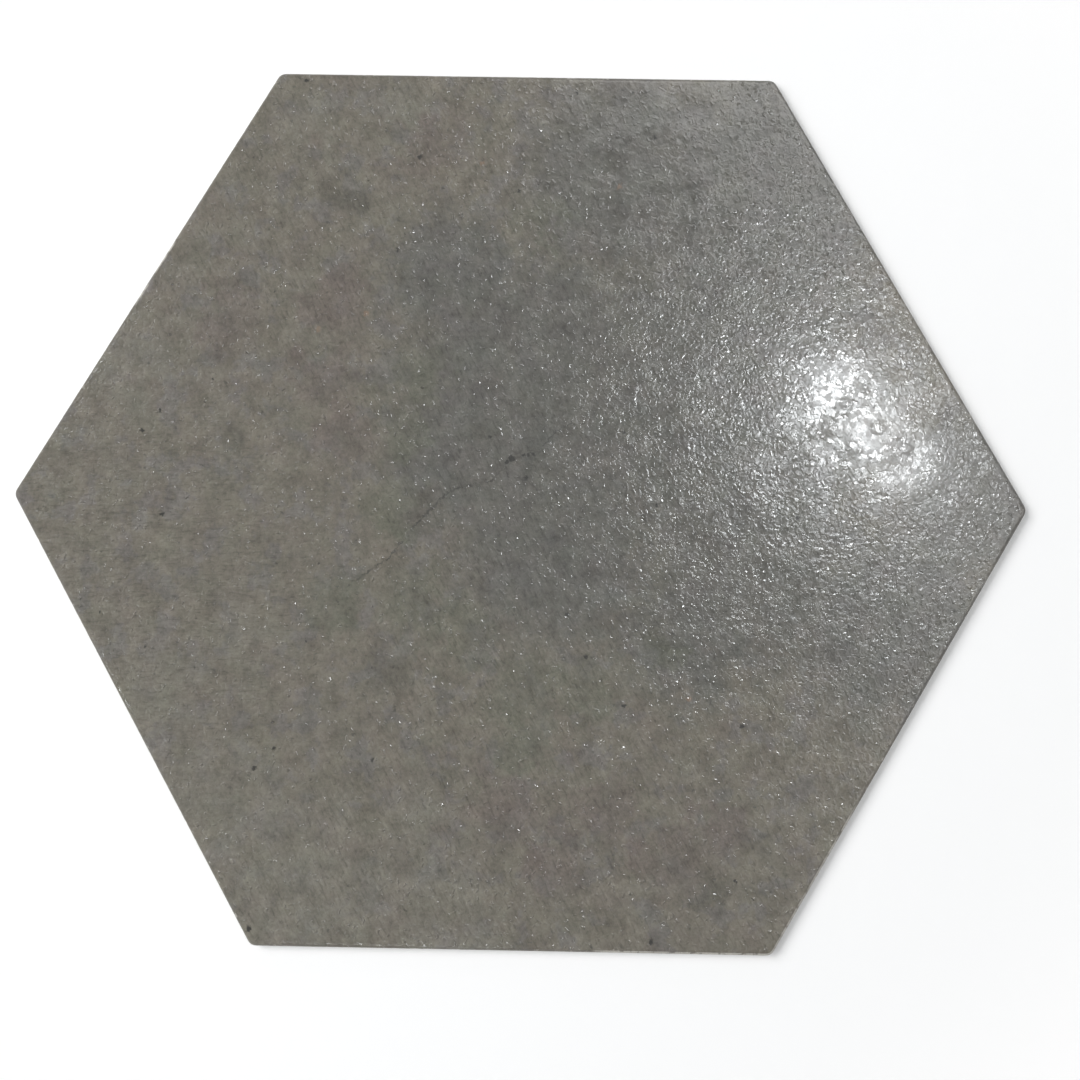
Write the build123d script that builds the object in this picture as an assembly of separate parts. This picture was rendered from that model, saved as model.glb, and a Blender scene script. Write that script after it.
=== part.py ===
from build123d import *
import os

# Hexagon vinyl floor tile: one sheet, die-cut to a regular hexagon, with a micro-bevelled rim.
# Frame: +Z up, the wearing face on top. The origin is the centre of the back, on the floor.
# +X points at a corner, and two of the six sides run parallel to X.

# Driving dimensions, in millimetres
ACROSS_FLATS = 200.0  # from one side to the opposite side
THICKNESS = 2.5  # from the back to the wearing face
CORNER_RADIUS = 2.0  # blunting of the six corners, seen from above
RIM_BEVEL = 0.5  # the 45 degree micro-bevel round the wearing face, across and down
SIDES = 6


def hexagon_outline():
    """The die's outline: a regular hexagon set by its flats, with blunted corners."""
    apothem = ACROSS_FLATS / 2
    outline = RegularPolygon(radius=apothem, side_count=SIDES, major_radius=False)
    return fillet(outline.vertices(), radius=CORNER_RADIUS)


def hexagon_tile():
    """The sheet, cut square through its thickness, then bevelled round its wearing face."""
    sheet = extrude(hexagon_outline(), amount=THICKNESS)
    wearing_face = sheet.faces().sort_by(Axis.Z)[-1]
    return chamfer(wearing_face.edges(), length=RIM_BEVEL)


tile = hexagon_tile()
tile.label = "hexagon_tile"

os.makedirs("parts", exist_ok=True)
export_step(tile, "parts/hexagon_tile.step")
print("hexagon_tile volume mm3", round(tile.volume, 1), "box", tile.bounding_box().size)
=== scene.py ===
import math

import bpy
import numpy as np
from mathutils import Matrix, Vector


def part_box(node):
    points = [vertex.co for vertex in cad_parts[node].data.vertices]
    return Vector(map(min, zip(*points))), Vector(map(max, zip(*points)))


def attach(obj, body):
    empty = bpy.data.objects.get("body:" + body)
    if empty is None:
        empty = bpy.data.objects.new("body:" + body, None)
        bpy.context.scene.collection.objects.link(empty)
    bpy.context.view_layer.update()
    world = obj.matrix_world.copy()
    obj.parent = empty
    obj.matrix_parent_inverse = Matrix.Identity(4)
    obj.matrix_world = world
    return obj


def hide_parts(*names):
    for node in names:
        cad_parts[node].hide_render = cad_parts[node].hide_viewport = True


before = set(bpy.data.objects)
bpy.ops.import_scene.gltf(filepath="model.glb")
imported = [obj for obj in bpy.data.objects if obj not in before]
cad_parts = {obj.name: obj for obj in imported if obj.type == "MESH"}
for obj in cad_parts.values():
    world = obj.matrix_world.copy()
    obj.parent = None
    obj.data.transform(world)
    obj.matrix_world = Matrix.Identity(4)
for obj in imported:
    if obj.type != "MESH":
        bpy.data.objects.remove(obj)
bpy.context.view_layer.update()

# The sheet: filled vinyl, pressed by a roller that embosses its wearing face, then die-cut to a regular
# hexagon with blunted corners and a 45 degree micro-bevel round the face.
# This mesh carries the coarser emboss: low pebbles, round bosses and a few plateaus on a faint swell.
tile_low, tile_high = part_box("hexagon_tile")
APOTHEM = tile_high.y
THICKNESS = tile_high.z
BEVEL = 0.0005
CORNER_RADIUS = 0.002
CORNERS = 6
RINGS = 172
HALF_SIDE_TURN = math.pi / CORNERS
SIDE_TURN = 2 * HALF_SIDE_TURN
FACE_APOTHEM = APOTHEM - BEVEL
FACE_CORNER = FACE_APOTHEM / math.cos(HALF_SIDE_TURN)
STEP = FACE_CORNER / RINGS

PEBBLE_REACH = 0.00050
PEBBLE_HEIGHT = 0.000006
SWELL_REACH = 0.0024
SWELL_HEIGHT = 0.000022
PATCH_REACH = 0.0035
PATCH_PRESS = 0.9
PATCH_SPREAD = 0.5
PATCH_MOST = 2.2
BOSS_GAP = 0.0026
BOSS_REACH = 0.0011
BOSS_REACH_SPREAD = 0.25
BOSS_HEIGHT = 0.000021
BOSS_TALLEST = 3.0
BOSS_MARGIN = 1.6
JITTER = 0.16 * STEP
JITTER_REACH = 0.3 * STEP
# Where the roller pressed lightly, and the flat-topped plateaus: x, y and reach in millimetres
CALM_SPOTS = ((72, 27, 11), (80, 18, 12), (88, 9, 10))
CALM_SHARE = 0.80
PLATEAUS = (
    (81.7, 18.4, 1.4), (75.9, 13.6, 1.3), (71.3, 17.7, 1.2), (74.5, 23.9, 1.3), (77.9, 26.3, 1.0),
    (72.9, 6.2, 1.2), (88.3, 13.6, 1.2), (66.0, 12.0, 1.1), (90.5, 3.0, 1.2),
)
PLATEAU_HEIGHT = 0.000040
PLATEAU_FOOT = 1.2
PLATEAU_SLOPE = 0.75
BLUNTING_POWER = 40
MM = 0.001

rolls = np.random.default_rng(41)
lattice = np.arange(-RINGS, RINGS + 1)
across, up_row = np.meshgrid(lattice, lattice, indexing="ij")


def pressed_field(reach):
    """A random field over the lattice, softened over reach, with a mean of 0 and a spread of 1."""
    raw = rolls.standard_normal(across.shape)
    places = np.fft.fftfreq(len(lattice)) * len(lattice)
    q, r = np.meshgrid(places, places, indexing="ij")
    spread = np.exp(-(q * q + q * r + r * r) * (STEP / reach) ** 2 / 2)
    soft = np.fft.ifft2(np.fft.fft2(raw) * np.fft.fft2(spread)).real
    return (soft - soft.mean()) / soft.std()


def blunting(turn, apothem, radius):
    """How much of a sharp hexagon's reach is left by blunted corners, in the direction turn."""
    off_corner = np.abs((turn + HALF_SIDE_TURN) % SIDE_TURN - HALF_SIDE_TURN)
    sharp = apothem / np.cos(HALF_SIDE_TURN - off_corner)
    centre = (apothem - radius) / math.cos(HALF_SIDE_TURN)
    inside = np.maximum(radius**2 - (centre * np.sin(off_corner)) ** 2, 0)
    arc = centre * np.cos(off_corner) + np.sqrt(inside)
    tangent = math.atan2(radius * math.sin(HALF_SIDE_TURN), centre + radius * math.cos(HALF_SIDE_TURN))
    return np.where(off_corner < tangent, arc / sharp, 1.0)


pebbles = pressed_field(PEBBLE_REACH)
patches = np.minimum(PATCH_PRESS * np.exp(PATCH_SPREAD * pressed_field(PATCH_REACH)), PATCH_MOST)
swell = SWELL_HEIGHT * pressed_field(SWELL_REACH)
jitter_x = JITTER * pressed_field(JITTER_REACH)
jitter_y = JITTER * pressed_field(JITTER_REACH)

on_face = np.abs(across + up_row) <= RINGS
ring = np.maximum(np.maximum(np.abs(across), np.abs(up_row)), np.abs(across + up_row))
inner = ring < RINGS
face_x = STEP * (across + up_row / 2) + np.where(inner, jitter_x, 0)
face_y = STEP * (up_row * math.sqrt(3) / 2) + np.where(inner, jitter_y, 0)
pressed_hard = patches
for x, y, reach in CALM_SPOTS:
    away = np.hypot(face_x / MM - x, face_y / MM - y) / reach
    pressed_hard = np.minimum(pressed_hard, patches * (1 - CALM_SHARE * np.exp(-away**2)))
bosses = np.zeros(across.shape)
boss_count = int((2 * FACE_CORNER / BOSS_GAP) ** 2)
boss_x, boss_y = rolls.uniform(-FACE_CORNER, FACE_CORNER, (2, boss_count))
boss_reach = BOSS_REACH * rolls.uniform(1 - BOSS_REACH_SPREAD, 1 + BOSS_REACH_SPREAD, boss_count)
boss_height = BOSS_HEIGHT * np.minimum(rolls.exponential(1.0, boss_count), BOSS_TALLEST)
for x, y, reach, height in zip(boss_x, boss_y, boss_reach, boss_height):
    middle_row = round(y / (STEP * math.sqrt(3) / 2))
    middle = round(x / STEP - middle_row / 2)
    spread = math.ceil(BOSS_MARGIN * reach / STEP)
    near_by = tuple(
        slice(max(c + RINGS - spread, 0), max(c + RINGS + spread + 1, 0)) for c in (middle, middle_row)
    )
    away = np.hypot(face_x[near_by] - x, face_y[near_by] - y) / reach
    bosses[near_by] = np.maximum(bosses[near_by], height * np.maximum(1 - away**2, 0) ** 2)
relief = (PEBBLE_HEIGHT * pebbles + bosses) * pressed_hard + swell
for x, y, reach in PLATEAUS:
    away = np.hypot(face_x / MM - x, face_y / MM - y) / reach
    relief += PLATEAU_HEIGHT * np.clip((PLATEAU_FOOT - away) / PLATEAU_SLOPE, 0, 1)
relief -= relief[on_face].max()

turn = np.arctan2(face_y, face_x)
pull = 1 + (blunting(turn, FACE_APOTHEM, CORNER_RADIUS - BEVEL) - 1) * (ring / RINGS) ** BLUNTING_POWER
number = np.full(across.shape, -1)
number[on_face] = np.arange(on_face.sum())
face_points = np.c_[
    (face_x * pull)[on_face], (face_y * pull)[on_face], THICKNESS + relief[on_face]
]

corner_a = number[:-1, :-1]
corner_b = number[1:, :-1]
corner_c = number[:-1, 1:]
corner_d = number[1:, 1:]
lower = np.stack([corner_a, corner_b, corner_c], -1).reshape(-1, 3)
upper = np.stack([corner_b, corner_d, corner_c], -1).reshape(-1, 3)
face_triangles = np.concatenate([lower, upper])
face_triangles = face_triangles[(face_triangles >= 0).all(1)]

# The cut rim: the bevel, then the square cut down to the back, which the die leaves a little ragged.
# Each row is a share of the way out from the face to the outline, a height and how ragged the cut is there.
RAGGED = 0.000030
SHARP_FROM = 30
RIM_ROWS = (
    (0.5, THICKNESS - BEVEL / 2, 0.3),
    (1.0, THICKNESS - BEVEL, 0.5),
    (1.0, 0.55 * THICKNESS, 0.6),
    (1.0, 0.18 * THICKNESS, 1.0),
    (1.0, 0.0, 0.7),
)
rim = number[on_face & (ring == RINGS)]
rim_turn = np.arctan2(face_points[rim, 1], face_points[rim, 0])
rim = rim[np.argsort(rim_turn)]
rim_turn = np.sort(rim_turn)
off_side = (rim_turn % SIDE_TURN) - HALF_SIDE_TURN
outline = APOTHEM / np.cos(off_side) * blunting(rim_turn, APOTHEM, CORNER_RADIUS)
rim_reach = np.hypot(face_points[rim, 0], face_points[rim, 1])
points = [face_points]
rim_triangles = []
row_before = rim
start = len(face_points)
for share, height, ragged in RIM_ROWS:
    torn = RAGGED * ragged * np.abs(rolls.standard_normal(len(rim)))
    reach = rim_reach + (outline - rim_reach) * share - torn
    rim_x = np.clip(reach * np.cos(rim_turn), tile_low.x, tile_high.x)
    points.append(np.c_[rim_x, reach * np.sin(rim_turn), np.full(len(rim), height)])
    row = start + np.arange(len(rim))
    start += len(rim)
    after, after_before = np.roll(row, -1), np.roll(row_before, -1)
    rim_triangles.append(np.c_[row_before, row, after])
    rim_triangles.append(np.c_[row_before, after, after_before])
    row_before = row
points = np.concatenate(points)
rim_triangles = np.concatenate(rim_triangles)
triangles = np.concatenate([face_triangles, rim_triangles])
back_loop = row_before[::-1]

sheet = bpy.data.meshes.new("hexagon_tile_sheet")
sheet.vertices.add(len(points))
sheet.vertices.foreach_set("co", points.ravel())
sheet.loops.add(triangles.size + len(back_loop))
sheet.loops.foreach_set("vertex_index", np.concatenate([triangles.ravel(), back_loop]).astype(np.int32))
sheet.polygons.add(len(triangles) + 1)
starts = np.append(np.arange(len(triangles)) * 3, triangles.size)
sheet.polygons.foreach_set("loop_start", starts.astype(np.int32))
WEARING_FACE, RIM, BACK = 0, 1, 2
layer = np.repeat([WEARING_FACE, RIM, BACK], [len(face_triangles), len(rim_triangles), 1])
sheet.polygons.foreach_set("material_index", layer.astype(np.int32))
sheet.update(calc_edges=True)
sheet.validate()
sheet.shade_smooth()
sheet.set_sharp_from_angle(angle=math.radians(SHARP_FROM))
tile = bpy.data.objects.new("embossed_tile", sheet)
bpy.context.scene.collection.objects.link(tile)


# The print: a concrete pattern in a few inks on film, under the clear wear layer of the wearing face.
# Broken clouds of slate, chalk, moss, rose and umber drift over a hazy beige ground, with strokes, specks,
# a few rust dots and one hairline crack. All places and reaches here are in millimetres.
class Ink:
    """One socket of a material's node tree. Sums and products of inks add Math nodes."""

    def __init__(self, tree, socket=None):
        self.tree = tree
        self.socket = socket

    def node(self, kind, settings, values, out=0):
        made = self.tree.nodes.new("ShaderNode" + kind)
        for name, value in settings.items():
            setattr(made, name, value)
        for key, value in values.items():
            if isinstance(value, Ink):
                self.tree.links.new(value.socket, made.inputs[key])
            else:
                made.inputs[key].default_value = value
        return Ink(self.tree, made.outputs[out])

    def other(self, out):
        """Another output of the node that self comes from."""
        return Ink(self.tree, self.socket.node.outputs[out])

    def maths(self, operation, a, b=0.0, c=0.0):
        return self.node("Math", {"operation": operation}, {0: a, 1: b, 2: c})

    def __add__(self, other):
        return self.maths("ADD", self, other)

    def __radd__(self, other):
        return self.maths("ADD", other, self)

    def __sub__(self, other):
        return self.maths("SUBTRACT", self, other)

    def __rsub__(self, other):
        return self.maths("SUBTRACT", other, self)

    def __mul__(self, other):
        return self.maths("MULTIPLY", self, other)

    def __rmul__(self, other):
        return self.maths("MULTIPLY", other, self)

    def least(self, other):
        return self.maths("MINIMUM", self, other)

    def most(self, other):
        return self.maths("MAXIMUM", self, other)

    def vector(self, operation, a, b=(0.0, 0.0, 0.0), scale=1.0):
        out = 1 if operation in ("DISTANCE", "DOT_PRODUCT") else 0
        values = {0: a, 1: b}
        if operation == "SCALE":
            values = {0: a, "Scale": scale}
        return self.node("VectorMath", {"operation": operation}, values, out)

    def blend(self, share, a, b):
        """Colour a where share is 0, colour b where it is 1."""
        return self.node("Mix", {"data_type": "RGBA"}, {0: share, 6: a, 7: b}, 2)

    def ease(self, low, high, to_low=0.0, to_high=1.0):
        """A smooth step from to_low, at and below low, to to_high, at and above high."""
        settings = {"interpolation_type": "SMOOTHSTEP"}
        return self.node("MapRange", settings, {0: self, 1: low, 2: high, 3: to_low, 4: to_high})

    def noise(self, size, detail=2.0, roughness=0.5, out=0):
        """Cloudy noise over the vector self, in millimetres, with features about size across."""
        values = {"Vector": self, "Scale": 1 / size, "Detail": detail, "Roughness": roughness}
        return self.node("TexNoise", {"noise_dimensions": "2D"}, values, out)

    def pushed(self, push, reach):
        """The vector self, moved by a coloured noise, by about a quarter of reach."""
        values = {0: push, 1: (reach, reach, 0.0), 2: self}
        moved = self.node("VectorMath", {"operation": "MULTIPLY_ADD"}, values)
        return self.vector("SUBTRACT", moved, (reach / 2, reach / 2, 0.0))

    def stirred(self, size, detail, reach):
        """The vector self, pushed about by noise of a size."""
        return self.pushed(self.noise(size, detail, 0.6, out=1), reach)

    def brushed(self, degrees, long):
        """The vector self, turned and shortened so that noise over it lies in strokes that way."""
        values = {"Vector": self, "Angle": -math.radians(degrees)}
        turned = self.node("VectorRotate", {"rotation_type": "Z_AXIS"}, values)
        return self.vector("MULTIPLY", turned, (1 / long, 1.0, 0.0))

    def away_from(self, spot):
        return self.vector("DISTANCE", self, (*spot, 0.0))

    def scattered(self, gap):
        """How far the nearest of many strewn points is, in gaps, and a random number for that point."""
        cells = self.node("TexVoronoi", {"voronoi_dimensions": "2D"}, {"Vector": self, "Scale": 1 / gap})
        return cells, self.node("SeparateColor", {}, {0: cells.other("Color")})


def finish_of(name):
    """A new material: its shader node, and an ink to start its node tree from."""
    made = bpy.data.materials.new(name)
    made.use_nodes = True
    shader = made.node_tree.nodes["Principled BSDF"]
    sheet.materials.append(made)
    return shader, Ink(made.node_tree)


def in_mm(ink):
    """Where a point of the sheet is, in millimetres, seen from above."""
    place = ink.node("TexCoord", {}, {}, "Object")
    return ink.vector("MULTIPLY", place, (1 / MM, 1 / MM, 0.0))


BEIGE = (0.178, 0.1645, 0.1375, 1)
HAZE = (0.167, 0.1585, 0.147, 1)
SLATE = (0.138, 0.1345, 0.1225, 1)
CHALK = (0.192, 0.182, 0.153, 1)
MOSS = (0.142, 0.143, 0.115, 1)
ROSE = (0.160, 0.140, 0.124, 1)
UMBER = (0.128, 0.121, 0.104, 1)
RUST = (0.235, 0.162, 0.115, 1)
SOOT = (0.026, 0.025, 0.022, 1)
CLOUDS = (
    (SLATE, 0.95, (
        (3, 30, 33), (24, 76, 28), (54, 71, 36), (45, 25, 46), (10, -8, 28), (54, -12, 29), (84, -26, 26),
        (102, 4, 22), (-17, 52, 17), (38, -30, 17), (-12, 10, 20),
    )),
    (CHALK, 0.70, (
        (-66, -72, 20), (-46, -86, 20), (-16, -92, 13), (-78, -44, 11), (-50, 88, 9), (-90, 30, 9),
        (-60, -30, 7), (-20, -72, 8), (-30, 92, 7),
    )),
    (MOSS, 0.62, (
        (-24, 28, 9), (-28, -1, 8), (-41, -24, 8), (-22, -24, 10), (-10, -31, 8), (3, -43, 10),
        (17, -42, 7), (33, -34, 6), (4, 66, 6), (-27, 15, 6), (2, -55, 7),
    )),
    (ROSE, 0.75, (
        (-68, 42, 9), (-43, 45, 9), (-45, 28, 8), (-41, 14, 8), (-1, -68, 9), (10, -81, 8),
        (21, -69, 9), (36, -80, 9), (46, -73, 7), (-22, 82, 8),
    )),
    (UMBER, 0.60, ((-28, -39, 6), (-22, -4, 4), (-43, 70, 6), (44, -86, 5), (-66, 12, 4))),
)
SPECKS = (
    (-24.6, 80.2, 0.75), (30.1, 85.7, 0.70), (24.8, 96.4, 0.45), (11.7, 96.2, 0.45), (-29.3, 58.1, 0.45),
    (-57.3, 47.9, 0.45), (-70.8, 27.1, 0.50), (-82.7, 19.7, 0.55), (-86.6, 15.0, 0.60), (-81.3, -4.2, 0.55),
    (-1.4, 72.5, 0.55), (-51.5, 98.4, 0.70), (-6.9, 14.8, 0.50), (1.5, 5.5, 0.80), (23.7, 16.4, 0.60),
    (-58.2, -61.0, 0.80), (-53.9, -56.5, 0.65), (-31.8, -58.7, 0.60), (-47.5, -32.4, 0.50),
    (-58.1, -96.3, 0.80), (-83.9, -34.4, 0.45), (-94.5, -26.8, 0.50), (11.3, -25.3, 0.55),
    (15.8, -34.9, 0.55), (51.0, -49.7, 0.65), (24.5, -45.7, 0.55), (75.0, -27.0, 0.60),
    (49.6, -84.0, 0.50), (31.2, -97.6, 0.60), (63.2, -2.6, 0.75), (31.2, -0.2, 0.65),
)
RUST_DOTS = ((-47, 39, 0.8), (-36, 43, 0.9), (-10, 79, 0.7), (22, 74, 0.9), (39, -44, 0.9))
CRACK = (
    (-38.4, -19.8), (-29.2, -13.1), (-23.5, -5.7), (-16.2, 2.0), (-9.4, 4.1), (-6.5, 4.6), (-3.6, 7.9),
    (-2.2, 9.8), (1.9, 10.8), (4.6, 12.0), (7.9, 16.2), (11.6, 18.3),
)
CHIPS = ((-2.9, 9.1, 0.7), (-1.9, 10.0, 0.95), (0.9, 10.6, 0.5), (2.0, 10.8, 0.6), (3.1, 10.9, 0.45))
CLOUD_SIZE = 8.0
CLOUD_DRIFT = 20.0
TINT_LEAST, TINT_RANGE = 0.957, 0.085
TONE_SIZE = 6.0
TONE_LEAST, TONE_RANGE = 0.425, 1.15
LEVEL_STROKES = (-90, -20)
STROKE_LONG, STROKE_WIDE = (5.0, 4.5), (0.6, 0.65)
STROKE_SLANT = (2, -62)
HAIRLINE = (0.08, 0.30)
PINPRICK_GAP = 4.5


def apart_from(place, spots):
    """How far a place is from the nearest of some round spots, in reaches of that spot."""
    away = None
    for x, y, reach in spots:
        apart = place.away_from((x, y)) * (1 / reach)
        away = apart if away is None else away.least(apart)
    return away


def nearest(place, spots, inner, outer, strength=1.0):
    """How strong the nearest of some round spots is: full within inner of its reach, none past outer."""
    return apart_from(place, spots).ease(inner, outer, strength, 0.0)


def print_of(place):
    """The printed colour at a place of the sheet, without its specks and crack."""
    cloudy = place.noise(CLOUD_SIZE, 3.0, 0.65, out=1)
    drifted = place.pushed(cloudy, CLOUD_DRIFT)
    hazy = place.node("SeparateColor", {}, {0: cloudy}, 2).ease(0.53, 0.63, 0.0, 0.6)
    colour = place.blend(hazy, BEIGE, HAZE)
    for ink, strength, clouds in CLOUDS:
        colour = place.blend(nearest(drifted, clouds, 0.5, 1.2, strength), colour, ink)
    values = {0: cloudy, 1: (TINT_RANGE,) * 3, 2: (TINT_LEAST,) * 3}
    tint = place.node("VectorMath", {"operation": "MULTIPLY_ADD"}, values)
    colour = place.vector("MULTIPLY", colour, tint)
    tone = place.noise(TONE_SIZE, 4.0, 0.88) * TONE_RANGE + TONE_LEAST
    return place.vector("SCALE", colour, scale=tone)


def strokes_of(place):
    """How much the drawn-out strokes lighten or darken a place: level on the left, slanted elsewhere."""
    on_left = place.away_from(LEVEL_STROKES).ease(30.0, 75.0, 1.0, 0.0)
    level, slanted = (
        place.brushed(slant, long).noise(wide, 1.0, 0.6)
        for slant, long, wide in zip(STROKE_SLANT, STROKE_LONG, STROKE_WIDE)
    )
    drawn = level * on_left + slanted * (1 - on_left)
    return drawn.ease(0.24, 0.42, -0.17, 0.0) + drawn.ease(0.58, 0.78, 0.0, 0.12)


def crack_of(wavy):
    """How much of the hairline crack and of the chips beside it lies at a place."""
    away = None
    for start, end in zip(CRACK, CRACK[1:]):
        run = Vector((*end, 0.0)) - Vector((*start, 0.0))
        from_start = wavy.vector("SUBTRACT", wavy, (*start, 0.0))
        share = wavy.vector("DOT_PRODUCT", from_start, run / run.length_squared)
        share = share.node("MapRange", {}, {0: share})
        beside = wavy.vector("DISTANCE", from_start, wavy.vector("SCALE", run, scale=share))
        away = beside if away is None else away.least(beside)
    broken = wavy.noise(3.0, 1.0, 0.6).ease(0.34, 0.58, 0.2, 0.75)
    hairline = away.ease(*HAIRLINE, 1.0, 0.0) * broken
    return hairline.most(nearest(wavy, CHIPS, 0.55, 1.0))


def specks_of(ragged):
    """How much of a dark speck lies at a place: the large ones, and a scatter of pinpricks."""
    away, lot = ragged.scattered(PINPRICK_GAP)
    pinpricks = away.ease(0.03, 0.08, 1.0, 0.0) * lot.ease(0.45, 1.0, 0.0, 0.65)
    return nearest(ragged, SPECKS, 0.45, 1.0).most(pinpricks)


face, ink = finish_of("printed_vinyl")
place = in_mm(ink)
ragged = place.stirred(0.9, 1.0, 1.2)
dark = specks_of(ragged).most(crack_of(ragged))

# The wear layer's emboss, too fine for the sheet's mesh: shallow waves over low caps that meet in creases,
# strewn with glossy crumbs. It is pressed harder in some patches than in others, most towards the right
# corner, and its crumbs are tallest on the left. Sizes and heights are in millimetres, but a crumb's
# reach is a share of the gap between crumbs.
RIGHT_SIDE = (80, 15)
TOP_SIDE = (20, 97)
PRESS_PATCH = 6.0
WAVE_SIZE = 0.85
WAVE_HEIGHT = 0.070
CAP_GAP = 0.92
CAP_HEIGHT = 0.042
CRUMB_GAP = 1.8
CRUMB_REACH = 0.30
CRUMB_HEIGHT = 0.10
LEFT_CRUMB_EXTRA = 0.14
GLOSSIEST, DULLEST = 0.135, 0.24
calm = nearest(place, CALM_SPOTS, 0.1, 1.7, CALM_SHARE)
from_right = place.away_from(RIGHT_SIDE)
from_top = place.away_from(TOP_SIDE)
hard = place.noise(PRESS_PATCH, 2.0, 0.6).ease(0.32, 0.72, 0.40, 1.0) * (1 - calm)
hard = hard * from_right.ease(45.0, 95.0, 1.45, 0.9) * from_top.ease(12.0, 42.0, 0.45, 1.0)
pressed = place.stirred(1.5, 1.0, 1.6)
waves = pressed.noise(WAVE_SIZE, 1.0, 0.5)
away, gloss = pressed.scattered(CAP_GAP)
hollow = away * away
away, lot = pressed.scattered(CRUMB_GAP)
taller = from_right.ease(15.0, 45.0, 0.0, CRUMB_HEIGHT)
taller = taller + from_right.ease(65.0, 120.0, 0.0, LEFT_CRUMB_EXTRA)
raised = lot.ease(0.1, 0.9) * taller
crumbs = away.ease(0.0, CRUMB_REACH, 1.0, 0.0) * raised
height = waves * WAVE_HEIGHT - hollow * CAP_HEIGHT + crumbs
ripple = ink.node("Bump", {}, {"Strength": hard, "Distance": MM, "Height": height})
ink.tree.links.new(ripple.socket, face.inputs["Normal"])

# The wear layer's gloss: it varies from cap to cap, is highest on the crumbs, and is lost in the dark marks
# and in the thin outlines of the plateaus.
round_plateau = apart_from(ragged, PLATEAUS)
outline = round_plateau.ease(0.95, 1.10) * round_plateau.ease(1.15, 1.32, 1.0, 0.0)
shiny = away.ease(0.26, 0.36, 0.80, 0.0) * raised.least(0.13)
sheen = gloss.ease(0.1, 0.9, GLOSSIEST, DULLEST) + dark * 0.3 + outline * 0.12 - shiny
ink.tree.links.new(sheen.socket, face.inputs["Roughness"])

# The face's colour: the print, its strokes, and painted shade, darker in the wave troughs, in the creases
# between the caps and round the plateaus, then the rust dots and the dark marks.
trough_shade = waves.ease(0.30, 0.44, 0.09, 0.0)
strokes_wear_and_painted_light = strokes_of(place) + 0.97 - trough_shade - hollow * hard * 0.12 - outline * 0.12
colour = ink.vector("SCALE", print_of(place), scale=strokes_wear_and_painted_light)
colour = ink.blend(nearest(ragged, RUST_DOTS, 0.2, 1.0, 0.6), colour, RUST)
colour = ink.blend(dark * 0.92, colour, SOOT)
ink.tree.links.new(colour.socket, face.inputs["Base Color"])

# The rim: the micro-bevel carries the print, drawn darker as painted shade, worn through to the pale core
# in places on the lower right and bottom, and painted pale as a highlight in two spots on the upper left.
# Below it the square cut shows the pale chalk-filled core, with the fine upright score marks that the die
# leaves.
CORE = (0.47, 0.45, 0.41, 1)
CORE_DARK = (0.40, 0.38, 0.345, 1)
# Bevel spots shown as pale core: worn through on the lower right and bottom, a painted highlight on the
# upper left.
WORN_AND_HIGHLIGHT_SPOTS = (
    (74, -75, 9), (67, -87, 13), (59, -99, 12), (42, -100, 14), (27, -100, 9), (-86, 46, 4), (-81, 55, 5),
)
SCORE_SIZE = 0.35
SCORE_DEPTH = 0.05
rim_shader, ink = finish_of("cut_rim")
place = in_mm(ink)
rise = ink.node("SeparateXYZ", {}, {0: ink.node("TexCoord", {}, {}, "Object")}, "Z") * (1 / MM)
score = place.noise(SCORE_SIZE, 3.0, 0.65)
below_bevel = (THICKNESS - BEVEL) / MM
cut = (rise + score * 0.12).ease(below_bevel - 0.02, below_bevel + 0.14, 1.0, 0.0)
# The worn-through spots, and the painted-highlight spots on the upper left, broken up by noise.
strokes_wear_and_painted_light = nearest(place.stirred(3.0, 3.0, 6.0), WORN_AND_HIGHLIGHT_SPOTS, 0.5, 1.2)
strokes_wear_and_painted_light = strokes_wear_and_painted_light * place.noise(1.5, 3.0, 0.7).ease(0.30, 0.50)
nicks = place.noise(2.2, 3.0, 0.7).ease(0.63, 0.72, 0.0, 0.6)
bare_and_highlight = cut.most(strokes_wear_and_painted_light).most(nicks)
# Painted shade: the core is drawn darker in the grooves of the score marks and lighter on their ridges.
core = ink.blend(score.ease(0.30, 0.70), CORE_DARK, CORE)
core = ink.vector("SCALE", core, scale=place.noise(12.0, 3.0, 0.6) * 0.3 + 0.85)
# Painted shade: the bevel's print is the face's print drawn darker.
film = ink.vector("SCALE", print_of(place), scale=0.86)
ink.tree.links.new(ink.blend(bare_and_highlight, film, core).socket, rim_shader.inputs["Base Color"])
ripple = ink.node("Bump", {}, {"Strength": 1.0, "Distance": MM, "Height": score * cut * SCORE_DEPTH})
ink.tree.links.new(ripple.socket, rim_shader.inputs["Normal"])
ink.tree.links.new((bare_and_highlight * 0.25 + score * 0.2 + 0.28).socket, rim_shader.inputs["Roughness"])

# The back: the same chalk-filled vinyl as the rim's core, left bare. The last calender roll gives it
# a linen grain, which holds the floor adhesive.
BACK_DARK = (0.36, 0.35, 0.32, 1)
THREAD_LONG, THREAD_WIDE = 9.0, 0.55
LINEN_DEPTH = 0.12
back_shader, ink = finish_of("pressed_back")
place = in_mm(ink)
warp = place.brushed(0, THREAD_LONG).noise(THREAD_WIDE, 1.0, 0.5)
weft = place.brushed(90, THREAD_LONG).noise(THREAD_WIDE, 1.0, 0.5)
linen = warp.most(weft)
cloudy = place.noise(26.0, 5.0, 0.62) * 0.7 + place.noise(1.2, 3.0, 0.6) * 0.3
colour = ink.blend(cloudy.ease(0.30, 0.70), BACK_DARK, CORE)
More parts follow.
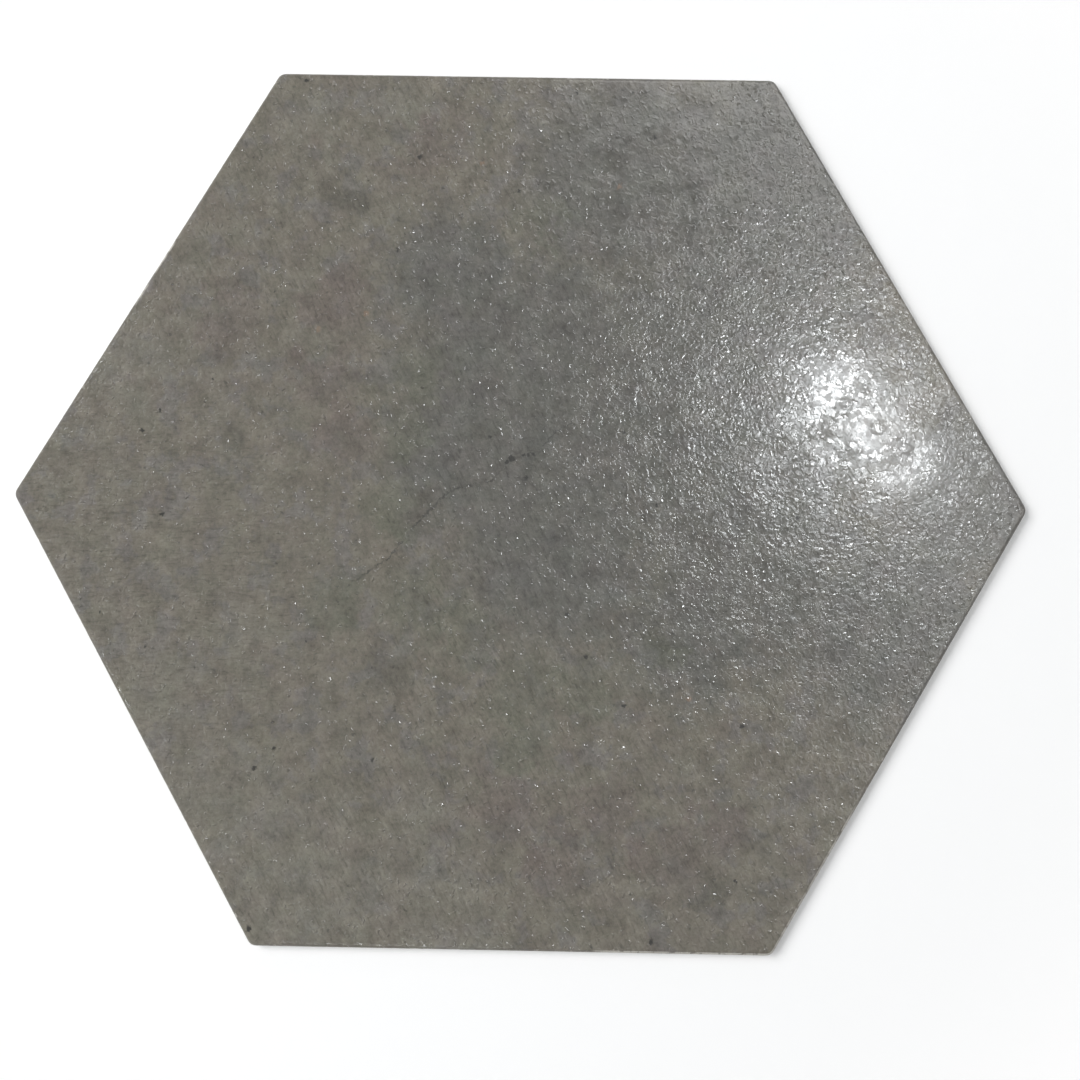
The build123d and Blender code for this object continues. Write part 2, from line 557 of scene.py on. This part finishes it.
# Painted shade: the back is drawn darker in the grooves of the linen grain and lighter on its threads.
colour = ink.vector("SCALE", colour, scale=linen.ease(0.35, 0.75, 0.90, 1.06))
ink.tree.links.new(colour.socket, back_shader.inputs["Base Color"])
ripple = ink.node("Bump", {}, {"Strength": 1.0, "Distance": MM, "Height": linen * LINEN_DEPTH})
ink.tree.links.new(ripple.socket, back_shader.inputs["Normal"])
ink.tree.links.new((linen * 0.25 + cloudy * 0.1 + 0.42).socket, back_shader.inputs["Roughness"])

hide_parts("hexagon_tile")
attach(tile, "root")

# The floor: a plain white studio sweep, flat under the tile and turned up to a wall all round, and
# painted matt. Past the tile's shadow it is seen as plain white.
SWEEP = (
    (0.0, 0.0), (0.25, 0.0), (0.6, 0.0), (1.2, 0.0), (1.9, 0.0), (2.2, 0.04), (2.4, 0.16), (2.5, 0.4),
    (2.52, 1.2),
)
SHADOW_REACH = (0.118, 0.20)
FLOOR_WHITE = (0.97, 0.97, 0.97, 1)
SWEEP_TURNS = 96
around = np.arange(SWEEP_TURNS) * 2 * math.pi / SWEEP_TURNS
sweep_points = [(0.0, 0.0, 0.0)]
for reach, height in SWEEP[1:]:
    sweep_points += [(reach * math.cos(a), reach * math.sin(a), height) for a in around]
sweep_faces = [(0, 1 + i, 1 + (i + 1) % SWEEP_TURNS) for i in range(SWEEP_TURNS)]
for row in range(len(SWEEP) - 2):
    inside, outside = 1 + row * SWEEP_TURNS, 1 + (row + 1) * SWEEP_TURNS
    for i in range(SWEEP_TURNS):
        after = (i + 1) % SWEEP_TURNS
        sweep_faces.append((inside + i, outside + i, outside + after, inside + after))
board = bpy.data.meshes.new("floor_sweep")
board.from_pydata(sweep_points, [], sweep_faces)
board.shade_smooth()
floor = bpy.data.objects.new("floor", board)
bpy.context.scene.collection.objects.link(floor)
paint = bpy.data.materials.new("floor_paint")
paint.use_nodes = True
matt = paint.node_tree.nodes["Principled BSDF"]
matt.inputs["Base Color"].default_value = FLOOR_WHITE
matt.inputs["Roughness"].default_value = 1.0
matt.inputs["Specular IOR Level"].default_value = 0.0
ink = Ink(paint.node_tree)
place = ink.node("TexCoord", {}, {}, "Object")
ray = ink.node("LightPath", {}, {}, "Is Camera Ray")
seen = ray.most(ray.other("Is Glossy Ray")).most(ray.other("Is Transmission Ray"))
seen = seen * place.away_from((0, 0)).ease(*SHADOW_REACH)
white = ink.node("Emission", {}, {"Color": (1, 1, 1, 1), "Strength": 1.0})
mixed = ink.node("MixShader", {}, {0: seen, 1: Ink(ink.tree, matt.outputs[0]), 2: white})
ink.tree.links.new(mixed.socket, paint.node_tree.nodes["Material Output"].inputs["Surface"])
board.materials.append(paint)

# The light: a soft box to the left that the gloss doesn't mirror, a long lamp and three small ones overhead
# that it does, two windows seen in the gloss alone, and a dim even room. Each overhead lamp is placed by
# the point of the wearing face's plane at which the camera would see it mirrored.
# First the camera's own place, the point that it looks at and its upward direction.
EYE = Vector((0.00690, -0.02909, 0.27411))
AIM = Vector((0.00494, -0.00865, 0.00250))
UP = Vector((-0.01715, 0.99702, 0.07517))


def lamp(name, shape, size, size_y, power, at, towards, along, mirrored=True):
    """An area lamp that faces a point, with its long side along a direction. The camera doesn't see it."""
    light = bpy.data.lights.new(name, "AREA")
    light.shape = shape
    light.size = size
    light.size_y = size_y
    light.energy = power
    holder = bpy.data.objects.new(name, light)
    back = (Vector(at) - Vector(towards)).normalized()
    side = (Vector(along) - back * back.dot(Vector(along))).normalized()
    facing = Matrix((side, back.cross(side), back)).transposed()
    holder.matrix_world = Matrix.Translation(Vector(at)) @ facing.to_4x4()
    holder.visible_glossy = mirrored
    holder.visible_camera = False
    bpy.context.scene.collection.objects.link(holder)
    return holder


LAMP_HEIGHT = 1.2
LAMP_COLOUR = (0.95, 0.98, 1.0)
LAMP_TURN = math.radians(-48)
LAMP_ALONG = (math.cos(LAMP_TURN), math.sin(LAMP_TURN), 0)
LAMPS = (
    ("long_lamp", 0.22, 0.08, 2.6, Vector((0.0748, 0.0200, THICKNESS))),
    ("far_lamp_1", 0.08, 0.06, 0.60, Vector((-0.1350, 0.0550, THICKNESS))),
    ("far_lamp_2", 0.08, 0.06, 0.60, Vector((-0.1400, -0.0650, THICKNESS))),
    ("far_lamp_3", 0.08, 0.06, 0.60, Vector((-0.0300, -0.1500, THICKNESS))),
)
for name, wide, tall, power, mirrored_at in LAMPS:
    sight = mirrored_at - EYE
    sight.z = -sight.z
    lamp_at = mirrored_at + sight * (LAMP_HEIGHT / sight.z)
    lamp(name, "ELLIPSE", wide, tall, power, lamp_at, mirrored_at, LAMP_ALONG).data.color = LAMP_COLOUR


def around_tile(away, turn, tilt):
    """A place at a distance from the tile's centre, at a turn from +X and a tilt from the floor."""
    level = away * math.cos(tilt)
    return Vector((level * math.cos(turn), level * math.sin(turn), away * math.sin(tilt)))


SOFT_BOX = ("soft_box", 161, 42, 1.5, 1.0, 32.0)
SOFT_BOX_AWAY = 1.9
WINDOWS = (("back_window", 62, 53, 0.9, 0.5, 5.6), ("side_window", -2, 60, 0.8, 0.5, 3.2))
WINDOW_AWAY = 1.5
for name, turn, tilt, wide, tall, power in (SOFT_BOX, *WINDOWS):
    in_gloss_alone = name != SOFT_BOX[0]
    turn, tilt = math.radians(turn), math.radians(tilt)
    at = around_tile(WINDOW_AWAY if in_gloss_alone else SOFT_BOX_AWAY, turn, tilt)
    along = (-math.sin(turn), math.cos(turn), 0)
    holder = lamp(name, "RECTANGLE", wide, tall, power, at, (0, 0, 0), along, mirrored=in_gloss_alone)
    holder.visible_diffuse = not in_gloss_alone
ROOM_LIGHT = 0.25
room = bpy.data.worlds.new("room")
room.use_nodes = True
room.node_tree.nodes["Background"].inputs["Color"].default_value = (1.0, 1.0, 1.0, 1)
room.node_tree.nodes["Background"].inputs["Strength"].default_value = ROOM_LIGHT
bpy.context.scene.world = room

# The camera: nearly straight above the tile, a little towards its lower side, with a lens that takes in
# all six corners.
lens = bpy.data.cameras.new("camera")
lens.sensor_width = 36.0
lens.lens = 40.0
camera = bpy.data.objects.new("camera", lens)
back = (EYE - AIM).normalized()
right = UP.cross(back).normalized()
head = back.cross(right)
camera.matrix_world = Matrix.Translation(EYE) @ Matrix((right, head, back)).transposed().to_4x4()
bpy.context.scene.collection.objects.link(camera)
bpy.context.scene.camera = camera
bpy.context.scene.view_settings.view_transform = "Standard"

bpy.context.view_layer.update()
